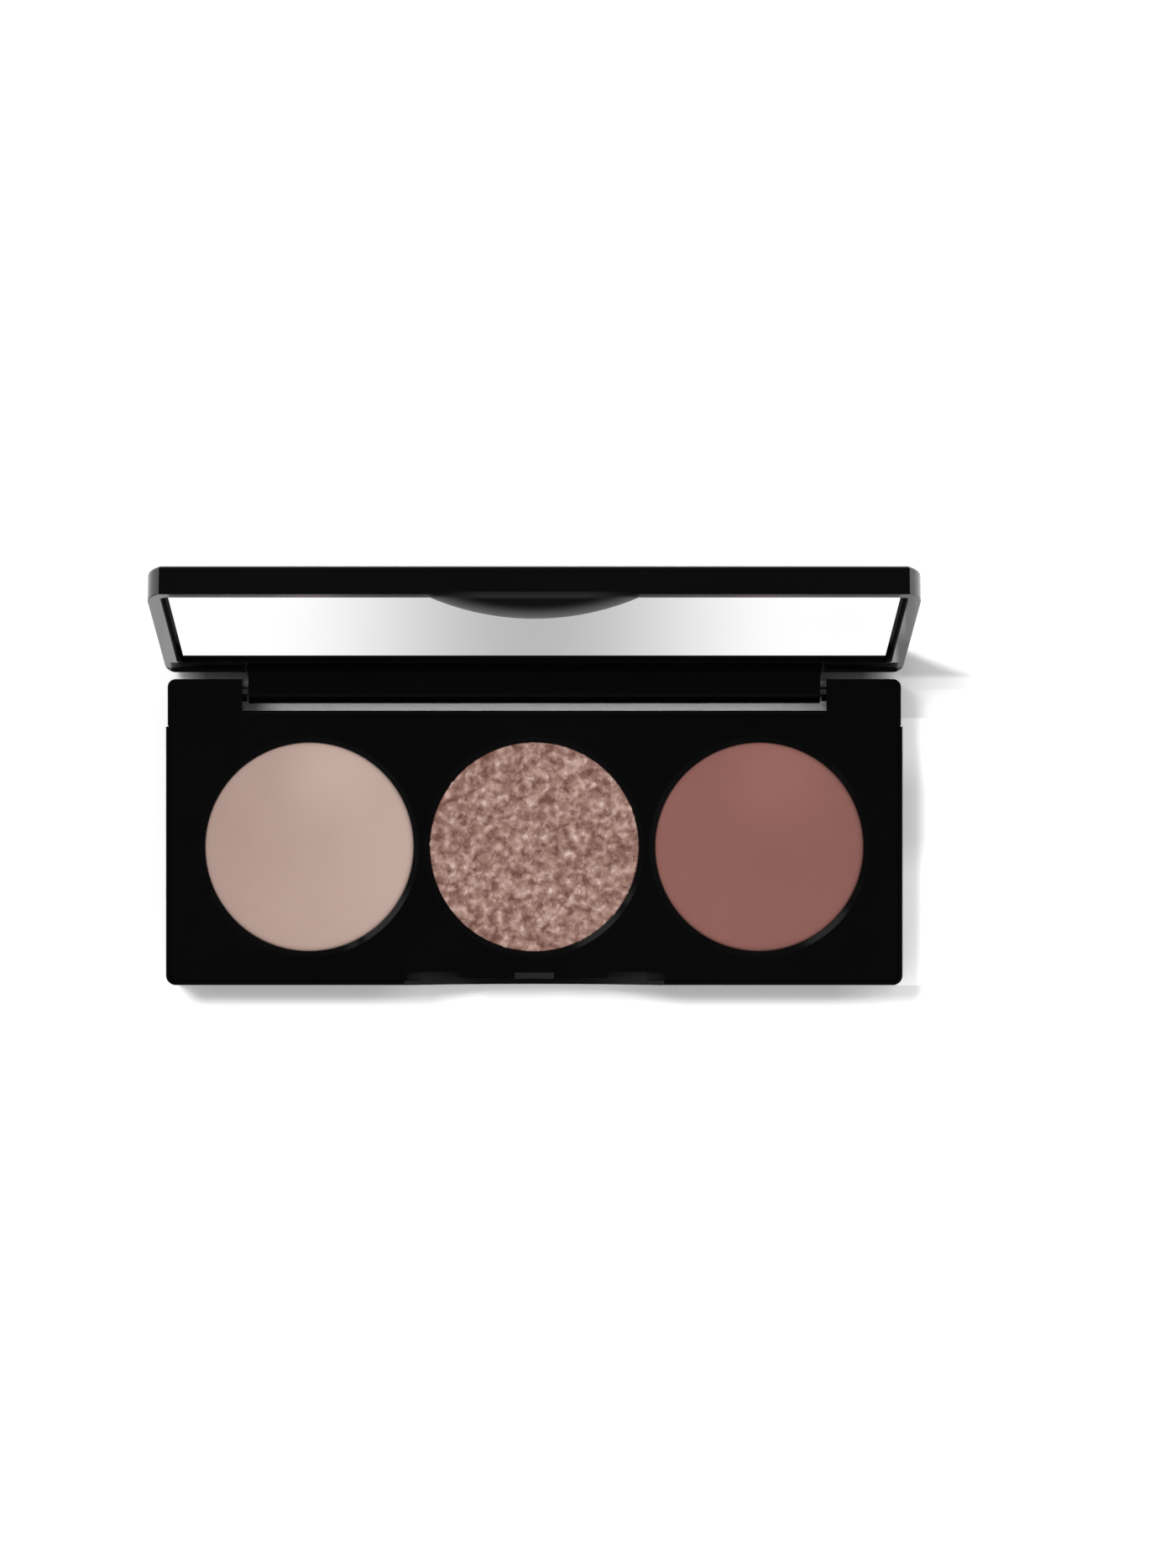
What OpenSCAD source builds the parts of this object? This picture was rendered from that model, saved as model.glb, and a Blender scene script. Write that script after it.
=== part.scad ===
// Slim three-pan eyeshadow palette, shown with its mirrored lid open.
// Frame: millimetres, +Z up, origin at the centre of the flat underside,
// +X to the user's right, -Y towards the user, hinge at the rear.

/* [Base] */
// Height of the base, underside to deck
base_h = 7; // [6.7:0.1:9]
// Thickness of the base floor
floor_t = 1.2; // [0.8:0.1:1.4]
// Thickness of the base side walls
wall_t = 1.3; // [1.1:0.1:1.6]
// Space between the outer collars and the side walls
side_gap = 2.25; // [1:0.25:5]
// Space between the collars and the wall of the finger notch
front_gap = 0.3; // [0.2:0.1:3]
// Space between the collars and the hinge wall
rear_gap = 1.5; // [0.5:0.1:4]
// Radius of the upright corners, base and lid
corner_r = 1.2; // [0.9:0.1:2]
// Edge round under the base
foot_r = 0.6; // [0.3:0.1:0.8]
// Edge round on top of the base lip
lip_r = 0.15; // [0.05:0.05:0.2]
// Corner radius of the hollow in the base
hollow_r = 0.6; // [0.3:0.1:1]
// How much narrower each side is beside the hinge ears
ear_relief = 0.22; // [0.1:0.02:0.4]
// Depth of the relieved ear zone, from the rear face
ear_zone = 5.8; // [5.5:0.1:7]

/* [Deck tray] */
// Thickness of the deck plate
deck_t = 1.1; // [0.9:0.1:1.4]
// Width of the base lip that shows round the deck
lip_t = 0.5; // [0.4:0.05:0.7]
// Open seam between the lip and the deck plate
seam_gap = 0.1; // [0.05:0.01:0.15]
// How far the deck reaches over each pan rim
opening_lip = 0.2; // [0.1:0.05:0.5]
// Width of the bevel round each opening
bevel_w = 0.65; // [0.3:0.05:0.75]
// Depth of the bevel round each opening
bevel_h = 0.5; // [0.3:0.05:0.7]
// Edge round where the deck meets the hinge notch
deck_edge_r = 0.4; // [0.2:0.05:0.6]
// Wall of the collar that holds each pan
collar_t = 0.8; // [0.6:0.1:1]
// Height of the collars under the deck plate
collar_h = 1.5; // [1:0.1:2]
// Diameter of the posts that locate the tray
post_d = 1.8; // [1.4:0.1:2]
// Radial clearance of a post in its socket
post_fit = 0.04; // [0.02:0.01:0.08]
// Wall of the sockets for the posts
socket_wall = 0.8; // [0.6:0.1:1]
// Height of the sockets over the floor
socket_h = 2.6; // [2:0.1:3]
// Gap between a post and the bottom of its socket
post_end_gap = 0.3; // [0.1:0.1:0.6]
// Gap between a corner socket and the walls beside it
post_margin = 0.3; // [0.2:0.1:0.6]
// Gap between a middle socket and the collars beside it
post_clear = 1.9; // [1.2:0.1:2.2]

/* [Pans] */
// Outer diameter of a pan
pan_d = 26; // [24:0.5:37]
// Height of a pan
pan_h = 3.6; // [3:0.1:3.8]
// Sheet thickness of a pan
pan_t = 0.25; // [0.2:0.05:0.3]
// Bend radius at the foot of a pan
pan_bend = 0.7; // [0.4:0.1:1]
// Space between neighbouring pans
pan_space = 1.5; // [1.3:0.1:4]
// Radial clearance of a pan in its collar
pan_fit = 0.15; // [0.05:0.05:0.25]
// Gap between a pan rim and the deck plate
pan_gap = 0.05; // [0.02:0.01:0.1]
// Height of the pressed powder over the pan rim
powder_crown = 0.6; // [0.3:0.05:0.9]
// Radial gap between the powder and the opening
powder_gap = 0.1; // [0.06:0.02:0.3]
// Round at the edge of the pressed powder
powder_edge_r = 0.25; // [0.1:0.05:0.3]
// Distance from the pan's edge to its adhesive disc
glue_inset = 2; // [1.2:0.1:4]
// Thickness of the adhesive disc under a pan
glue_t = 0.15; // [0.1:0.05:0.2]
// Width of the ribs that carry the adhesive disc
rib_t = 0.9; // [0.7:0.1:1.2]
// Outer diameter of the inner rib ring
rib_ring_d = 8.8; // [6:0.2:12]
// Setback of the outer rib ring from the disc's edge
rib_inset = 0.2; // [0.1:0.1:0.5]

/* [Lid] */
// Thickness of the lid
lid_t = 3.5; // [3.2:0.1:5]
// Gap between the lid rim and the deck when shut
lid_gap = 0.15; // [0.1:0.05:0.3]
// How far the lid stands past the base on each side
lid_overhang = 0.2; // [0.1:0.05:0.4]
// Edge round on the outside of the lid
lid_edge_r = 0.5; // [0.3:0.1:1]
// How far the curve of each front corner cuts into the lid's width
curve_in = 1.55; // [1.4:0.05:2]
// Length of that curve along the lid's side
curve_run = 3.6; // [3:0.1:5]
// Edge round at the foot of the lid's side walls
rim_r = 0.12; // [0.05:0.01:0.2]
// Width of the lid rim at the sides
rim_side = 1.6; // [1.4:0.1:2.5]
// Width of the lid rim at the front
rim_front = 1.5; // [1.3:0.1:2.5]
// Width of the lid rim at the hinge
rim_rear = 5; // [4.6:0.1:6]
// Corner radius of the mirror pocket
pocket_r = 0.8; // [0.5:0.1:1.2]
// Depth of the mirror face below the rim
mirror_recess = 0.45; // [0.3:0.05:0.6]
// Thickness of the mirror glass
mirror_t = 1.3; // [1:0.1:1.4]
// Gap between the mirror and its pocket, front and rear
mirror_gap = 0.25; // [0.15:0.05:0.5]
// Groove between the mirror and its pocket at each side
mirror_groove = 0.85; // [0.3:0.05:1.2]
// Corner radius of the mirror
mirror_r = 0.5; // [0.3:0.1:1.5]
// Thickness of the mirror tape
tape_t = 0.25; // [0.1:0.05:0.3]
// Distance from the mirror edge to the tape
tape_inset = 1.5; // [0.5:0.5:5]
// Corner radius of the mirror tape
tape_r = 1; // [0.5:0.5:3]
// Angle of the open lid, counted from shut
open_angle = 103; // [90:1:110]

/* [Hinge] */
// Width of each hinge ear, beside the notch
ear_w = 9.35; // [8:0.05:12]
// Depth of the notch from the rear face
notch_d = 3.85; // [3.7:0.05:4.2]
// Side gap between the hinge tongue and an ear
tongue_gap = 0.65; // [0.5:0.05:0.8]
// How much wider the tongue grows towards the rim, each side
tongue_draft = 0.3; // [0.05:0.05:0.3]
// Distance from the rear face to the hinge axis
pivot_in = 1.5; // [1.4:0.05:1.8]
// Depth of the hinge axis below the deck
pivot_down = 2.6; // [2.4:0.05:3]
// Radius of the hinge barrel
barrel_r = 1.45; // [1.2:0.05:1.45]
// Diameter of a hinge pin
pin_d = 1.2; // [1:0.1:1.4]
// Length of a hinge pin
pin_l = 14; // [12:0.5:18]
// Depth of a pin end inside the ear's outer face
pin_sink = 0.3; // [0.1:0.1:0.8]
// Radial running clearance of a pin in the barrel
pin_fit = 0.04; // [0.02:0.01:0.08]
// Spare length of the bore past the pin
bore_spare = 0.4; // [0.2:0.1:1]
// Wall in front of the notch
hinge_wall = 1.2; // [1:0.1:1.4]
// Wall in front of the pin inside an ear
ear_core = 0.9; // [0.8:0.1:1.2]
// Clearance of the lid rim over the ear corners
swing_clear = 0.2; // [0.1:0.05:0.3]
// Thickness of the opening stops beside the tongue
stop_t = 0.45; // [0.3:0.05:0.45]
// Distance of the opening stops from the barrel's skin and from the pin
stop_inset = 0.12; // [0.05:0.01:0.15]
// Width of each opening stop, in degrees about the axis
stop_span = 40; // [30:2:50]
// Gap between the opening stops in degrees, lid open
stop_slack = 2; // [1:1:4]

/* [Latch] */
// Width of the lid's smile-shaped lip at the rim
tab_chord = 25.3; // [20:0.5:27]
// Drop of the lip below the lid rim
tab_drop = 2.76; // [2:0.1:3]
// Thickness of the lip
tab_t = 0.55; // [0.5:0.01:0.6]
// Setback of the lip behind the lid's front face
tab_inset = 0.13; // [0.1:0.01:0.16]
// Round at the lower edge of the lip
tab_edge_r = 0.45; // [0.2:0.05:0.5]
// Width of the finger notch in the base
finger_w = 31.7; // [30:0.1:36]
// Depth of the finger notch from the front face
finger_d = 1.65; // [1.4:0.05:1.8]
// Drop of the finger notch below the deck
finger_drop = 4.2; // [4:0.1:4.6]
// Wall behind the finger notch
finger_wall = 1; // [0.8:0.1:1.2]
// Width of the catch that stands in the finger notch
catch_w = 18; // [12:0.5:20]
// Gap between the catch and the lip of the lid
catch_gap = 0.22; // [0.2:0.02:0.3]
// Height of the catch, down from the deck
catch_h = 2.7; // [2:0.1:2.8]
// Width of the catch bead
bead_w = 4.8; // [3:0.2:8]
// How far the bead stands out of the catch
bead_out = 0.12; // [0.06:0.02:0.14]
// Depth of the bead tip below the deck
bead_down = 0.62; // [0.6:0.02:1]
// Setback of the lead-in ramp over the bead
ramp_in = 0.65; // [0.3:0.05:0.7]
// Depth of the groove in the lip that takes the bead
groove_d = 0.12; // [0.06:0.02:0.2]
// Clearance round the bead in its groove
groove_gap = 0.2; // [0.1:0.05:0.4]

/* [Hidden] */
$fn = 96;
eps = 0.01;              // overlap of shapes that join
over = 1;                // overshoot of cutting tools

// overall size, from what the base holds
collar_out = collar_t + pan_fit;
pan_pitch = pan_d + pan_space;
base_w = pan_d + 2 * (pan_pitch + collar_out + side_gap + wall_t);
base_d = pan_d + 2 * collar_out + front_gap + finger_wall + finger_d
    + rear_gap + hinge_wall + notch_d;
rear_y = base_d / 2;
front_y = -base_d / 2;
deck_z = base_h;
ledge_z = deck_z - deck_t;
ear_y = rear_y - ear_zone;
ear_half = base_w / 2 - ear_relief;

// deck and pans, measured down from the deck
pan_y = rear_y - notch_d - hinge_wall - rear_gap - collar_out - pan_d / 2;
pan_top_z = ledge_z - pan_gap;
pan_foot_z = pan_top_z - pan_h;
rib_top_z = pan_foot_z - glue_t;
collar_r = pan_d / 2 + pan_fit;
opening_r = pan_d / 2 - opening_lip;
powder_r = opening_r - powder_gap;
glue_r = pan_d / 2 - glue_inset;
post_r = post_d / 2;
socket_r = post_r + post_fit;

// hollow of the base
hollow_w = base_w - 2 * wall_t;
hollow_front = front_y + wall_t;
hollow_rear = rear_y - notch_d - hinge_wall;
post_inset = socket_r + socket_wall + post_margin;
post_reach = collar_r + collar_t + post_clear + socket_wall + socket_r;
post_offset = sqrt(pow(post_reach, 2) - pow(pan_pitch / 2, 2));
post_places = [
    for (sx = [-1, 1])
        for (place = [
            [hollow_w / 2 - post_inset, hollow_front + post_inset],
            [hollow_w / 2 - post_inset, hollow_rear - post_inset],
            [pan_pitch / 2, pan_y - post_offset],
            [pan_pitch / 2, pan_y + post_offset]])
            [sx * place[0], place[1]]];

// hinge
pivot_y = rear_y - pivot_in;
pivot_z = deck_z - pivot_down;
notch_y = rear_y - notch_d;
notch_w = base_w - 2 * ear_w;
tongue_half = notch_w / 2 - tongue_gap;
tongue_wide = tongue_half + tongue_draft;
pin_r = pin_d / 2;
pin_out_x = ear_half - pin_sink;
ear_core_rear = pivot_y - pin_r - ear_core;
lid_stop_at = -90;       // direction of the lid's stops, lid open
base_stop_at = lid_stop_at - stop_span - stop_slack;

// lid, drawn shut and then turned open
rim_z = deck_z + lid_gap;
lid_w = base_w + 2 * lid_overhang;
pocket_w = lid_w - 2 * rim_side;
pocket_d = base_d - rim_front - rim_rear;
pocket_y = (rim_front - rim_rear) / 2;
pocket_h = mirror_recess + mirror_t + tape_t;
mirror_w = pocket_w - 2 * mirror_groove;
mirror_d = pocket_d - 2 * mirror_gap;
mirror_z = rim_z + mirror_recess;
tape_z = mirror_z + mirror_t;
swing_r = norm([pivot_in, pivot_down]) + swing_clear;

// latch
tab_r = (pow(tab_chord / 2, 2) + pow(tab_drop, 2)) / (2 * tab_drop);
finger_r = (pow(finger_w / 2, 2) + pow(finger_drop, 2)) / (2 * finger_drop);
finger_y = front_y + finger_d;
tab_y = front_y + tab_inset;
tab_in_y = tab_y + tab_t;
catch_y = tab_in_y + catch_gap;
bead_y = catch_y - bead_out;
bead_z = deck_z - bead_down;
bead_foot_z = bead_z - 2 * bead_out;

// ---------- shared shapes ----------

// Rectangle with true round corners, centred.
module plan(w, d, r) {
    square([w - 2 * r, d], center = true);
    square([w, d - 2 * r], center = true);
    for (sx = [-1, 1])
        for (sy = [-1, 1])
            translate([sx * (w / 2 - r), sy * (d / 2 - r)]) circle(r);
}

// Half section of a slab: reach sideways, h high, with round outer edges.
module edge_section(reach, h, top_r, foot_r) {
    square([reach - foot_r, h / 2]);
    translate([0, h / 2]) square([reach - top_r, h / 2]);
    translate([0, foot_r]) square([reach, h - top_r - foot_r]);
    translate([reach - top_r, h - top_r]) circle(top_r);
    translate([reach - foot_r, foot_r]) circle(foot_r);
}

module both_sides() {
    children();
    mirror([1, 0]) children();
}

// Slab with round upright corners and round top and bottom edges.
module soft_slab(w, d, h, r, top_r, foot_r) {
    rotate([90, 0, 0]) linear_extrude(d - 2 * r, center = true)
        both_sides() edge_section(w / 2, h, top_r, foot_r);
    rotate([90, 0, 90]) linear_extrude(w - 2 * r, center = true)
        both_sides() edge_section(d / 2, h, top_r, foot_r);
    for (turn = [0 : 90 : 270]) {
        quarter = turn % 180 == 0;
        rotate(turn)
            translate([(quarter ? w : d) / 2 - r, (quarter ? d : w) / 2 - r])
                rotate_extrude(angle = 90) edge_section(r, h, top_r, foot_r);
    }
}

// Bar along X through the hinge axis.
module axis_bar(r, x0, x1) {
    translate([x0, pivot_y, pivot_z]) rotate([0, 90, 0]) cylinder(r = r, h = x1 - x0);
}

// Same shape on the left and on the right.
module mirrored_pair() {
    children();
    mirror([1, 0, 0]) children();
}

// Turns the lid from shut to open about the hinge axis.
module opened() {
    translate([0, pivot_y, pivot_z]) rotate([-open_angle, 0, 0])
        translate([0, -pivot_y, -pivot_z]) children();
}

// Round segment that hangs below a level line: chord wide, drop deep, t thick.
module smile(r, drop, top_z, y0, y1) {
    translate([0, y1, top_z - drop + r]) rotate([90, 0, 0]) cylinder(r = r, h = y1 - y0);
}

// Block of a ring about the hinge axis, centred on an angle in the YZ plane.
module stop_block(mid_angle, x0, x1) {
    half = stop_span / 2;
    reach = 2 * barrel_r;
    translate([x0, pivot_y, pivot_z]) rotate([90, 0, 90]) linear_extrude(x1 - x0)
        intersection() {
            difference() {
                circle(barrel_r - stop_inset);
                circle(pin_r + stop_inset);
            }
            polygon([[0, 0],
                reach * [cos(mid_angle - half), sin(mid_angle - half)],
                reach * [cos(mid_angle + half), sin(mid_angle + half)]]);
        }
}

// ---------- base ----------

// Ribs on the floor that carry one adhesive disc.
module pan_ribs(x) {
    translate([x, pan_y, floor_t - eps]) {
        rib_h = rib_top_z - floor_t + eps;
        ring_r = glue_r - rib_inset;
        spoke = ring_r - rib_t / 2;
        for (r = [ring_r, rib_ring_d / 2])
            difference() {
                cylinder(r = r, h = rib_h);
                translate([0, 0, -eps]) cylinder(r = r - rib_t, h = rib_h + 2 * eps);
            }
        for (turn = [0, 90])
            rotate(turn) difference() {
                translate([-spoke, -rib_t / 2, 0]) cube([2 * spoke, rib_t, rib_h]);
                translate([0, 0, -eps])
                    cylinder(r = (rib_ring_d - rib_t) / 2, h = rib_h + 2 * eps);
            }
    }
}

// Hollow inside the base, with the wall behind the finger notch kept.
module base_hollow() {
    mid_y = (hollow_front + hollow_rear) / 2;
    lobe_w = hollow_w / 2 - notch_w / 2 - hinge_wall;
    difference() {
        union() {
            translate([0, mid_y, floor_t]) linear_extrude(ledge_z)
                plan(hollow_w, hollow_rear - hollow_front, hollow_r);
            mirrored_pair()
                translate([hollow_w / 2 - lobe_w, 0, floor_t])
                    cube([lobe_w, ear_core_rear, ledge_z]);
        }
        translate([-finger_w / 2 - finger_wall, hollow_front - eps, 0])
            cube([finger_w + 2 * finger_wall, finger_y + finger_wall - hollow_front + eps, deck_z]);
    }
}

// Round-bottomed notch in the front wall that a fingertip reaches into.
module finger_notch() {
    intersection() {
        smile(finger_r, finger_drop, deck_z, front_y - over, finger_y);
        translate([-finger_w / 2, front_y - over, 0])
            cube([finger_w, finger_d + over, deck_z + over]);
    }
}

module base_shell() {
    color("#161616") difference() {
        union() {
            difference() {
                soft_slab(base_w, base_d, base_h, corner_r, lip_r, foot_r);
                base_hollow();
                // seat for the deck plate
                translate([0, 0, ledge_z]) linear_extrude(deck_t + over)
                    plan(base_w - 2 * lip_t, base_d - 2 * lip_t, corner_r - lip_t);
                translate([-base_w, ear_y, ledge_z]) cube([2 * base_w, base_d, deck_t + over]);
            }
            for (i = [-1 : 1]) pan_ribs(i * pan_pitch);
            for (p = post_places)
                translate([p[0], p[1], floor_t - eps])
                    cylinder(r = socket_r + socket_wall, h = socket_h + eps);
        }
        // hinge notch, right through, with a stop left on each side
        difference() {
            translate([-notch_w / 2, notch_y, -over])
                cube([notch_w, notch_d + over, base_h + 2 * over]);
            mirrored_pair()
                stop_block(base_stop_at, notch_w / 2 - stop_t, notch_w / 2 + eps);
        }
        mirrored_pair() {
            // sides drawn in beside the ears
            translate([ear_half, ear_y, -over]) cube([base_w, base_d, base_h + 2 * over]);
            // pin holes
            axis_bar(pin_r, notch_w / 2 - stop_t - over, base_w);
        }
        for (p = post_places)
            translate([p[0], p[1], floor_t]) cylinder(r = socket_r, h = socket_h + over);
        finger_notch();
    }
}

// Outline of the deck plate, seen from above.
module deck_plan() {
    inner_w = base_w - 2 * (lip_t + seam_gap);
    inner_d = base_d - 2 * (lip_t + seam_gap);
    intersection() {
        plan(inner_w, inner_d, corner_r - lip_t);
        translate([-base_w, front_y]) square([2 * base_w, ear_y + over - front_y]);
    }
    intersection() {
        plan(2 * ear_half, base_d, corner_r - ear_relief);
        translate([-base_w, ear_y + seam_gap]) square([2 * base_w, ear_zone]);
    }
}

// Catch in the middle of the finger notch, with its bead and lead-in ramp.
module catch() {
    translate([-catch_w / 2, catch_y, ledge_z]) cube([catch_w, finger_y - catch_y + eps, deck_t]);
    translate([-catch_w / 2, catch_y, deck_z - catch_h])
        cube([catch_w, finger_y - seam_gap - catch_y, catch_h]);
    translate([-bead_w / 2, 0, 0]) rotate([90, 0, 90]) linear_extrude(bead_w)
        polygon([[catch_y + eps, deck_z], [catch_y + eps, bead_foot_z],
            [bead_y, bead_z - bead_out], [bead_y, bead_z]]);
}

// Ramp cut into the catch over the bead.
module lead_in() {
    translate([-bead_w / 2, 0, 0]) rotate([90, 0, 90]) linear_extrude(bead_w)
        polygon([[bead_y - over, bead_z], [bead_y, bead_z], [catch_y + ramp_in, deck_z],
            [catch_y + ramp_in, deck_z + over], [bead_y - over, deck_z + over]]);
}

module pan_tray() {
    color("#121212") difference() {
        union() {
            difference() {
                translate([0, 0, ledge_z]) linear_extrude(deck_t) deck_plan();
                // deck stands back to let the lid's lip down
                translate([-finger_w / 2, front_y - over, 0])
                    cube([finger_w, finger_d + over, base_h + over]);
                translate([-notch_w / 2, notch_y, 0]) cube([notch_w, notch_d + over, base_h + over]);
                // edge round along the notch
                translate([-notch_w / 2, notch_y - deck_edge_r, deck_z - deck_edge_r])
                    difference() {
                        cube([notch_w, deck_edge_r + over, deck_edge_r + over]);
                        rotate([0, 90, 0]) cylinder(r = deck_edge_r, h = notch_w);
                    }
            }
            for (i = [-1 : 1])
                translate([i * pan_pitch, pan_y, ledge_z - collar_h])
                    cylinder(r = collar_r + collar_t, h = collar_h + eps);
            for (p = post_places)
                translate([p[0], p[1], floor_t + post_end_gap])
                    cylinder(r = post_r, h = ledge_z - floor_t - post_end_gap + eps);
            catch();
        }
        for (i = [-1 : 1])
            translate([i * pan_pitch, pan_y, 0]) {
                cylinder(r = collar_r, h = ledge_z);
                cylinder(r = opening_r, h = base_h + over);
                translate([0, 0, deck_z - bevel_h])
                    cylinder(r1 = opening_r, r2 = opening_r + bevel_w, h = bevel_h);
                translate([0, 0, deck_z]) cylinder(r = opening_r + bevel_w, h = over);
            }
        lead_in();
    }
}

// ---------- pans ----------

// Round cup pressed from sheet.
module pan(x) {
    inner_r = pan_d / 2 - pan_t;
    bend_in = pan_bend - pan_t;
    color("silver") translate([x, pan_y, pan_foot_z]) rotate_extrude() difference() {
        union() {
            square([pan_d / 2 - pan_bend, pan_h]);
            translate([0, pan_bend]) square([pan_d / 2, pan_h - pan_bend]);
            translate([pan_d / 2 - pan_bend, pan_bend]) circle(pan_bend);
        }
        translate([0, pan_t]) square([inner_r - bend_in, pan_h]);
        translate([0, pan_bend]) square([inner_r, pan_h]);
        translate([inner_r - bend_in, pan_bend]) circle(bend_in);
        translate([-pan_d, -over]) square([pan_d, 2 * pan_h]);
    }
}

// Powder pressed into a pan, crowned through the opening.
module powder(x, tint) {
    inner_r = pan_d / 2 - pan_t;
    bend_in = pan_bend - pan_t;
    crown_r = min(powder_r, inner_r);
    top = pan_h + powder_crown;
    color(tint) translate([x, pan_y, pan_foot_z]) rotate_extrude() intersection() {
        union() {
            translate([0, pan_t]) square([inner_r - bend_in, pan_h - pan_t]);
            translate([0, pan_bend]) square([inner_r, pan_h - pan_bend]);
            translate([inner_r - bend_in, pan_bend]) circle(bend_in);
            translate([0, pan_bend]) square([crown_r - powder_edge_r, top - pan_bend]);
            translate([0, pan_bend]) square([crown_r, top - pan_bend - powder_edge_r]);
            translate([crown_r - powder_edge_r, top - powder_edge_r]) circle(powder_edge_r);
        }
        square([pan_d, top]);
    }
}

// Adhesive disc between a pan and the ribs of the base.
module pan_glue(x) {
    color("white") translate([x, pan_y, rib_top_z]) cylinder(r = glue_r, h = glue_t);
}

// ---------- hinge ----------

// Steel pin, pressed into an ear and turning in the lid's barrel.
module hinge_pin(side) {
    x0 = pin_out_x - pin_l;
    color("lightgray") mirror([side < 0 ? 1 : 0, 0, 0]) axis_bar(pin_r, x0, pin_out_x);
}

// ---------- lid ----------

// Slab with small round corners at the hinge and long curves at the front, which meet the
// front wall in a crease.
module lid_slab() {
    curve_r = (pow(curve_in, 2) + pow(curve_run, 2)) / (2 * curve_in);
    side_len = base_d - curve_run - corner_r;
    translate([0, 0, rim_z]) {
        rotate([90, 0, 90]) {
            linear_extrude(lid_w - 2 * corner_r, center = true) lid_section(base_d / 2);
            linear_extrude(lid_w - 2 * curve_r, center = true)
                both_sides() lid_section(base_d / 2);
        }
        translate([0, (curve_run - corner_r) / 2, 0]) rotate([90, 0, 0])
            linear_extrude(side_len, center = true) both_sides() lid_section(lid_w / 2);
        mirrored_pair() {
            translate([lid_w / 2 - corner_r, rear_y - corner_r, 0])
                rotate_extrude(angle = 90) lid_section(corner_r);
            intersection() {
                translate([lid_w / 2 - curve_r, front_y + curve_run, 0])
                    rotate_extrude() lid_section(curve_r);
                rotate([90, 0, 90]) linear_extrude(lid_w)
                    both_sides() lid_section(base_d / 2);
            }
        }
    }
}

// Half section of the lid plate.
module lid_section(reach) {
    edge_section(reach, lid_t, lid_edge_r, rim_r);
}

// Tongue that fills the notch: a barrel on the hinge axis, and a block that joins it to
// the rear rim and widens towards it.
module hinge_tongue() {
    axis_bar(barrel_r, -tongue_half, tongue_half);
    translate([0, pivot_y + pivot_in, 0]) rotate([90, 0, 0])
        linear_extrude(barrel_r + pivot_in)
            both_sides() polygon([[-eps, pivot_z], [tongue_half, pivot_z],
                [tongue_half, pivot_z + barrel_r], [tongue_wide, rim_z],
                [tongue_wide, rim_z + over], [-eps, rim_z + over]]);
    mirrored_pair()
        stop_block(lid_stop_at + open_angle, tongue_half - eps, tongue_half + stop_t);
}

// Smile-shaped lip in the middle of the lid's front wall, its outer edge rounded.
module smile_tab() {
    intersection() {
        translate([0, tab_y, rim_z - tab_drop + tab_r]) rotate([-90, 0, 0])
            rotate_extrude() intersection() {
                union() {
                    square([tab_r - tab_edge_r, tab_t]);
                    translate([0, tab_edge_r]) square([tab_r, tab_t]);
                    translate([tab_r - tab_edge_r, tab_edge_r]) circle(tab_edge_r);
                }
                square([tab_r, tab_t]);
            }
        translate([-tab_chord, front_y, rim_z - tab_drop - over])
            cube([2 * tab_chord, finger_d, tab_drop + 2 * over]);
    }
}

module lid_shell() {
    color("#161616") opened() difference() {
        union() {
            lid_slab();
            hinge_tongue();
            smile_tab();
        }
        translate([0, pocket_y, rim_z - eps]) linear_extrude(pocket_h + eps)
            plan(pocket_w, pocket_d, pocket_r);
        mirrored_pair() {
            // blind bores for the pins
            axis_bar(pin_r + pin_fit, pin_out_x - pin_l - bore_spare,
                tongue_half + stop_t + over);
            // rim hollowed round the swing of the ear corners
            axis_bar(swing_r, tongue_half + stop_t, base_w);
        }
        // groove that the catch bead sits in
        translate([-bead_w / 2 - groove_gap, tab_in_y - groove_d, bead_foot_z - groove_gap])
            cube([bead_w + 2 * groove_gap, groove_d + over, bead_z - bead_foot_z + 2 * groove_gap]);
    }
}

module mirror_glass() {
    color("whitesmoke") opened() translate([0, pocket_y, mirror_z])
        linear_extrude(mirror_t) plan(mirror_w, mirror_d, mirror_r);
}

module mirror_tape() {
    color("white") opened() translate([0, pocket_y, tape_z]) linear_extrude(tape_t)
        plan(mirror_w - 2 * tape_inset, mirror_d - 2 * tape_inset, tape_r);
}

base_shell();
pan_tray();
pan(-pan_pitch);  // pan_left
pan(0);  // pan_center
pan(pan_pitch);  // pan_right
powder(-pan_pitch, "#b89e94");  // powder_left
powder(0, "#9d7a70");  // powder_center
powder(pan_pitch, "#8e625c");  // powder_right
pan_glue(-pan_pitch);  // pan_glue_left
pan_glue(0);  // pan_glue_center
pan_glue(pan_pitch);  // pan_glue_right
lid_shell();
mirror_glass();
mirror_tape();
hinge_pin(-1);  // hinge_pin_left
hinge_pin(1);  // hinge_pin_right
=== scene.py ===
"""Looks of the three-pan eyeshadow palette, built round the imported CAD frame.

Metres, or millimetres where a comment says so.
"""

import math
import random

import bpy
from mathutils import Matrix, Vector, noise

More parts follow.
